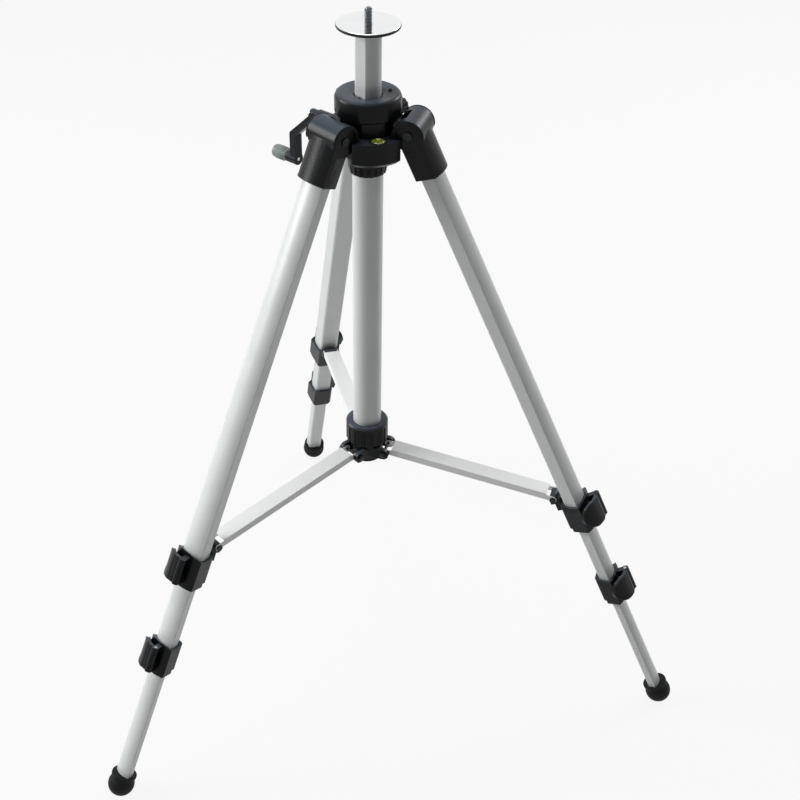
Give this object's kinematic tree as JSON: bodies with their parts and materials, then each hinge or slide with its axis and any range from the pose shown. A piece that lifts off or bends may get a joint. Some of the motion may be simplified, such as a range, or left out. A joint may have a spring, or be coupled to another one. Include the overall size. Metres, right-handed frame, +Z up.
{
  "type": "elevating tripod",
  "caption": "Telescopic tripod with flip-lever leg clamps, a sliding spreader hub and a cranked centre column carrying a round plate with a threaded stud.",
  "frame": {"origin": "on the floor, below the middle of the box that holds the standing tripod", "axes": "+Z up along the column towards the stud, +Y towards the rear foot, +X to the right of the front"},
  "size_m": [0.5688, 0.496, 0.6914],
  "materials": {
    "moulding": "satin black",
    "anodised": "satin anodised",
    "polished": "polished",
    "steel": "plain",
    "rubber": "matte black",
    "grip": "matte grey",
    "vial": "clear yellow-green",
    "bearing": "plain",
    "bush": "plain"
  },
  "bodies": {
    "crown_frame": {"crown": "moulding", "crown_cap": "moulding", "outer_tube": "anodised", "tube_end_plug": "moulding", "column_bush": "bush", "shaft_bush": "bearing", "level_vial": "vial", "leg_pivot_pins": "steel"},
    "column": {"centre_column": "anodised", "column_rack": "anodised", "column_guide": "moulding", "top_plate": "polished", "instrument_stud": "steel"},
    "crank": {"crank_shaft": "steel", "pinion": "bearing", "crank_arm": "moulding", "crank_pins": "steel"},
    "crank_grip": {"crank_knob": "grip"},
    "column_lock": {"lock_knob": "moulding", "lock_screw": "steel"},
    "spreader_hub": {"hub": "moulding", "hub_rivets": "steel"},
    "spreader_ring": {"lock_ring": "moulding"},
    "front_left_spreader": {"front_left_brace": "anodised"},
    "front_left_leg_top": {"front_left_knuckle": "moulding", "front_left_upper_tube": "anodised", "front_left_upper_clamp": "moulding", "front_left_upper_pins": "steel"},
    "front_left_top_catch": {"front_left_upper_lever": "moulding"},
    "front_left_leg_mid": {"front_left_middle_tube": "anodised", "front_left_lower_clamp": "moulding", "front_left_lower_pin": "steel"},
    "front_left_mid_catch": {"front_left_lower_lever": "moulding"},
    "front_left_leg_low": {"front_left_lower_tube": "anodised", "front_left_foot": "rubber"},
    "front_right_spreader": {"front_right_brace": "anodised"},
    "front_right_leg_top": {"front_right_knuckle": "moulding", "front_right_upper_tube": "anodised", "front_right_upper_clamp": "moulding", "front_right_upper_pins": "steel"},
    "front_right_top_catch": {"front_right_upper_lever": "moulding"},
    "front_right_leg_mid": {"front_right_middle_tube": "anodised", "front_right_lower_clamp": "moulding", "front_right_lower_pin": "steel"},
    "front_right_mid_catch": {"front_right_lower_lever": "moulding"},
    "front_right_leg_low": {"front_right_lower_tube": "anodised", "front_right_foot": "rubber"},
    "rear_spreader": {"rear_brace": "anodised"},
    "rear_leg_top": {"rear_knuckle": "moulding", "rear_upper_tube": "anodised", "rear_upper_clamp": "moulding", "rear_upper_pins": "steel"},
    "rear_top_catch": {"rear_upper_lever": "moulding"},
    "rear_leg_mid": {"rear_middle_tube": "anodised", "rear_lower_clamp": "moulding", "rear_lower_pin": "steel"},
    "rear_mid_catch": {"rear_lower_lever": "moulding"},
    "rear_leg_low": {"rear_lower_tube": "anodised", "rear_foot": "rubber"}
  },
  "joints": [
    {"name": "column_slide", "type": "slide", "parent": "crown_frame", "child": "column", "axis": [0, 0, 1], "range_m": [-0.015, 0.2]},
    {"name": "crank_turn", "type": "hinge", "parent": "crown_frame", "child": "crank", "pos_m": [-0.0111, -0.08686, 0.59093], "axis": [-0.6018, 0.7986, 0], "range_deg": [-2294, 174]},
    {"name": "crank_knob_spin", "type": "hinge", "parent": "crank", "child": "crank_grip", "pos_m": [-0.05353, -0.03056, 0.54292], "axis": [-0.6018, 0.7986, 0], "continuous": true},
    {"name": "lock_knob_turn", "type": "hinge", "parent": "crown_frame", "child": "column_lock", "pos_m": [0, -0.0785, 0.59723], "axis": [0.866, 0.5, 0], "range_deg": [0, 180]},
    {"name": "hub_slide", "type": "slide", "parent": "crown_frame", "child": "spreader_hub", "axis": [0, 0, 1], "range_m": [0, 0.12053]},
    {"name": "lock_ring_turn", "type": "hinge", "parent": "spreader_hub", "child": "spreader_ring", "pos_m": [0, -0.0785, 0.25593], "axis": [0, 0, 1], "range_deg": [0, 90]},
    {"name": "front_left_brace_fold", "type": "hinge", "parent": "spreader_hub", "child": "front_left_spreader", "pos_m": [-0.01689, -0.08825, 0.25593], "axis": [0.5, -0.866, 0], "range_deg": [0, 77.79]},
    {"name": "front_left_leg_fold", "type": "hinge", "parent": "front_left_spreader", "child": "front_left_leg_top", "pos_m": [-0.16201, -0.17204, 0.23859], "axis": [0.5, -0.866, 0], "range_deg": [-54.99, 0]},
    {"name": "front_left_upper_lever_flip", "type": "hinge", "parent": "front_left_leg_top", "child": "front_left_top_catch", "pos_m": [-0.19634, -0.19833, 0.23563], "axis": [0.3701, 0.2137, 0.9041], "range_deg": [0, 100]},
    {"name": "front_left_middle_slide", "type": "slide", "parent": "front_left_leg_top", "child": "front_left_leg_mid", "axis": [0.3701, 0.2137, 0.9041], "range_m": [-0.24, 0.048]},
    {"name": "front_left_lower_lever_flip", "type": "hinge", "parent": "front_left_leg_mid", "child": "front_left_mid_catch", "pos_m": [-0.22937, -0.21667, 0.15061], "axis": [0.3701, 0.2137, 0.9041], "range_deg": [0, 100]},
    {"name": "front_left_lower_slide", "type": "slide", "parent": "front_left_leg_mid", "child": "front_left_leg_low", "axis": [0.3701, 0.2137, 0.9041], "range_m": [-0.2, 0.105]},
    {"name": "front_right_brace_fold", "type": "hinge", "parent": "spreader_hub", "child": "front_right_spreader", "pos_m": [0.01689, -0.08825, 0.25593], "axis": [0.5, 0.866, 0], "range_deg": [0, 77.79]},
    {"name": "front_right_leg_fold", "type": "hinge", "parent": "front_right_spreader", "child": "front_right_leg_top", "pos_m": [0.16201, -0.17204, 0.23859], "axis": [0.5, 0.866, 0], "range_deg": [-54.99, 0]},
    {"name": "front_right_upper_lever_flip", "type": "hinge", "parent": "front_right_leg_top", "child": "front_right_top_catch", "pos_m": [0.20195, -0.18862, 0.23563], "axis": [-0.3701, 0.2137, 0.9041], "range_deg": [0, 100]},
    {"name": "front_right_middle_slide", "type": "slide", "parent": "front_right_leg_top", "child": "front_right_leg_mid", "axis": [-0.3701, 0.2137, 0.9041], "range_m": [-0.24, 0.048]},
    {"name": "front_right_lower_lever_flip", "type": "hinge", "parent": "front_right_leg_mid", "child": "front_right_mid_catch", "pos_m": [0.23435, -0.20805, 0.15061], "axis": [-0.3701, 0.2137, 0.9041], "range_deg": [0, 100]},
    {"name": "front_right_lower_slide", "type": "slide", "parent": "front_right_leg_mid", "child": "front_right_leg_low", "axis": [-0.3701, 0.2137, 0.9041], "range_m": [-0.2, 0.105]},
    {"name": "rear_brace_fold", "type": "hinge", "parent": "spreader_hub", "child": "rear_spreader", "pos_m": [0, -0.059, 0.25593], "axis": [-1, 0, 0], "range_deg": [0, 77.79]},
    {"name": "rear_leg_fold", "type": "hinge", "parent": "rear_spreader", "child": "rear_leg_top", "pos_m": [0, 0.10858, 0.23859], "axis": [-1, 0, 0], "range_deg": [-54.99, 0]},
    {"name": "rear_upper_lever_flip", "type": "hinge", "parent": "rear_leg_top", "child": "rear_top_catch", "pos_m": [-0.00561, 0.15146, 0.23563], "axis": [0, -0.4274, 0.9041], "range_deg": [0, 100]},
    {"name": "rear_middle_slide", "type": "slide", "parent": "rear_leg_top", "child": "rear_leg_mid", "axis": [0, -0.4274, 0.9041], "range_m": [-0.24, 0.048]},
    {"name": "rear_lower_lever_flip", "type": "hinge", "parent": "rear_leg_mid", "child": "rear_mid_catch", "pos_m": [-0.00498, 0.18923, 0.15061], "axis": [0, -0.4274, 0.9041], "range_deg": [0, 100]},
    {"name": "rear_lower_slide", "type": "slide", "parent": "rear_leg_mid", "child": "rear_leg_low", "axis": [0, -0.4274, 0.9041], "range_m": [-0.2, 0.105]}
  ],
  "couplings": [
    {"joint": "crank_turn", "follows": "column_slide", "rad_per_m": -200},
    {"joint": "front_left_brace_fold", "follows": "hub_slide", "rad_per_m": 11.263},
    {"joint": "front_left_leg_fold", "follows": "hub_slide", "rad_per_m": -7.9615},
    {"joint": "front_right_brace_fold", "follows": "hub_slide", "rad_per_m": 11.263},
    {"joint": "front_right_leg_fold", "follows": "hub_slide", "rad_per_m": -7.9615},
    {"joint": "rear_brace_fold", "follows": "hub_slide", "rad_per_m": 11.263},
    {"joint": "rear_leg_fold", "follows": "hub_slide", "rad_per_m": -7.9615}
  ]
}
